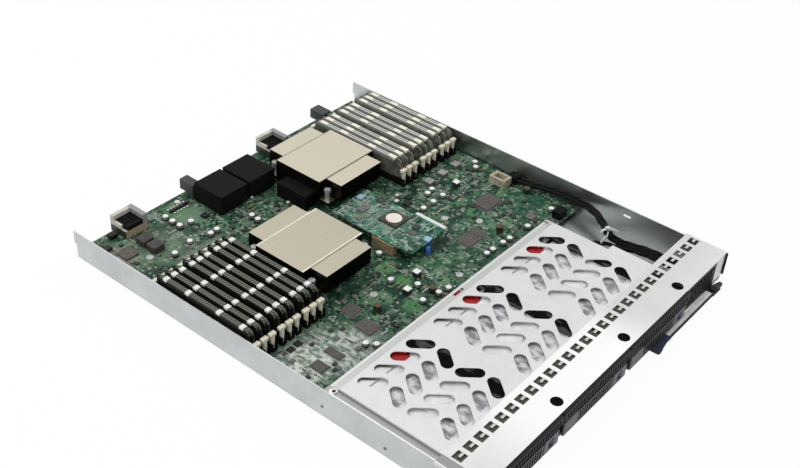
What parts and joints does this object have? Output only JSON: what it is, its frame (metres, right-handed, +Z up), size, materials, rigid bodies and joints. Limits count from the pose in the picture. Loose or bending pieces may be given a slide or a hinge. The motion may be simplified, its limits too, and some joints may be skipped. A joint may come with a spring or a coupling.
{
  "type": "rack server node",
  "caption": "Low open rack-server node: sheet-metal tray with slide-out drive carriers under a slotted cover, a main board with finned heat sinks and memory banks, and a front ejector lever.",
  "frame": {"origin": "centre of the tray's flat underside", "axes": "+Z up out of the open tray, +Y from the drive carriers' front to the rear connectors, +X to the right seen from the front"},
  "size_m": [0.4448, 0.535, 0.0394],
  "materials": {
    "zinc_sheet": "satin",
    "bright_steel": "satin",
    "lever_metal": "satin",
    "dark_mesh": "matte",
    "sled_black": "matte",
    "handle_grey": "matte",
    "catch_blue_grey": "matte",
    "drive_silver": "satin",
    "board_green": "satin",
    "sink_metal": "satin",
    "module_black": "satin",
    "module_grey": "satin",
    "black_plastic": "matte",
    "ivory_plastic": "matte",
    "tan_plastic": "matte",
    "blue_plastic": "satin",
    "red_lead": "satin",
    "can_metal": "satin",
    "package": "satin",
    "cable_black": "matte"
  },
  "bodies": {
    "node": {"tray": "zinc_sheet", "front_bridge": "zinc_sheet", "cage_cover": "zinc_sheet", "cage_dividers": "zinc_sheet", "cage_side": "zinc_sheet", "lever_bracket": "zinc_sheet", "standoffs": "bright_steel", "screws": "bright_steel", "sink_screws": "bright_steel", "lever_pin": "bright_steel", "vent_panel": "dark_mesh", "mainboard": "board_green", "mezzanine_card": "board_green", "drive_backplane": "board_green", "heat_sink_left": "sink_metal", "heat_sink_right": "sink_metal", "memory_modules_left": "module_black", "memory_modules_right": "module_grey", "memory_sockets": "black_plastic", "signal_connectors": "black_plastic", "power_inserts": "black_plastic", "board_chips": "black_plastic", "mezzanine_chip": "black_plastic", "cable_plugs": "black_plastic", "cpu_sockets": "black_plastic", "guide_block_left": "black_plastic", "guide_block_right": "black_plastic", "cable_tie": "black_plastic", "memory_clips": "ivory_plastic", "power_connectors": "ivory_plastic", "cream_header": "ivory_plastic", "bar_connector": "ivory_plastic", "mezzanine_connector": "tan_plastic", "mezzanine_posts": "blue_plastic", "sata_leads": "red_lead", "capacitors": "can_metal", "processors": "package", "signal_cables": "cable_black", "drive_cable": "cable_black"},
    "carrier_1": {"carrier_frame_1": "sled_black", "hard_drive_1": "drive_silver", "carrier_bezel_1": "dark_mesh"},
    "handle_1": {"carrier_handle_1": "handle_grey"},
    "catch_1": {"carrier_latch_1": "catch_blue_grey"},
    "carrier_2": {"carrier_frame_2": "sled_black", "hard_drive_2": "drive_silver", "carrier_bezel_2": "dark_mesh"},
    "handle_2": {"carrier_handle_2": "handle_grey"},
    "catch_2": {"carrier_latch_2": "catch_blue_grey"},
    "carrier_3": {"carrier_frame_3": "sled_black", "hard_drive_3": "drive_silver", "carrier_bezel_3": "dark_mesh"},
    "handle_3": {"carrier_handle_3": "handle_grey"},
    "catch_3": {"carrier_latch_3": "catch_blue_grey"},
    "lever": {"ejector_lever": "lever_metal", "lever_grip": "blue_plastic"},
    "latches_left_front": {"latches_left_front": "ivory_plastic"},
    "latches_left_rear": {"latches_left_rear": "ivory_plastic"},
    "latches_right_front": {"latches_right_front": "ivory_plastic"},
    "latches_right_rear": {"latches_right_rear": "ivory_plastic"}
  },
  "joints": [
    {"name": "carrier_slide_1", "type": "slide", "parent": "node", "child": "carrier_1", "axis": [0, -1, 0], "range_m": [0, 0.15]},
    {"name": "handle_swing_1", "type": "hinge", "parent": "carrier_1", "child": "handle_1", "pos_m": [-0.2111, -0.26195, 0.01085], "axis": [0, 0, -1], "range_deg": [0, 90]},
    {"name": "catch_press_1", "type": "slide", "parent": "carrier_1", "child": "catch_1", "axis": [1, 0, 0], "range_m": [0, 0.003], "stiffness_N_per_m": 250},
    {"name": "carrier_slide_2", "type": "slide", "parent": "node", "child": "carrier_2", "axis": [0, -1, 0], "range_m": [0, 0.15]},
    {"name": "handle_swing_2", "type": "hinge", "parent": "carrier_2", "child": "handle_2", "pos_m": [-0.09405, -0.26195, 0.01085], "axis": [0, 0, -1], "range_deg": [0, 90]},
    {"name": "catch_press_2", "type": "slide", "parent": "carrier_2", "child": "catch_2", "axis": [1, 0, 0], "range_m": [0, 0.003], "stiffness_N_per_m": 250},
    {"name": "carrier_slide_3", "type": "slide", "parent": "node", "child": "carrier_3", "axis": [0, -1, 0], "range_m": [0, 0.15]},
    {"name": "handle_swing_3", "type": "hinge", "parent": "carrier_3", "child": "handle_3", "pos_m": [0.023, -0.26195, 0.01085], "axis": [0, 0, -1], "range_deg": [0, 90]},
    {"name": "catch_press_3", "type": "slide", "parent": "carrier_3", "child": "catch_3", "axis": [1, 0, 0], "range_m": [0, 0.003], "stiffness_N_per_m": 250},
    {"name": "lever_swing", "type": "hinge", "parent": "node", "child": "lever", "pos_m": [0.1925, -0.265, 0.0017], "axis": [0, 0, 1], "range_deg": [0, 80]},
    {"name": "latches_left_front_tilt", "type": "hinge", "parent": "node", "child": "latches_left_front", "pos_m": [-0.1677, 0.004, 0.01], "axis": [1, 0, 0], "range_deg": [0, 20]},
    {"name": "latches_left_rear_tilt", "type": "hinge", "parent": "node", "child": "latches_left_rear", "pos_m": [-0.1677, 0.143, 0.01], "axis": [-1, 0, 0], "range_deg": [0, 20]},
    {"name": "latches_right_front_tilt", "type": "hinge", "parent": "node", "child": "latches_right_front", "pos_m": [0.1584, 0.0905, 0.01], "axis": [1, 0, 0], "range_deg": [0, 20]},
    {"name": "latches_right_rear_tilt", "type": "hinge", "parent": "node", "child": "latches_right_rear", "pos_m": [0.1584, 0.2295, 0.01], "axis": [-1, 0, 0], "range_deg": [0, 20]}
  ]
}
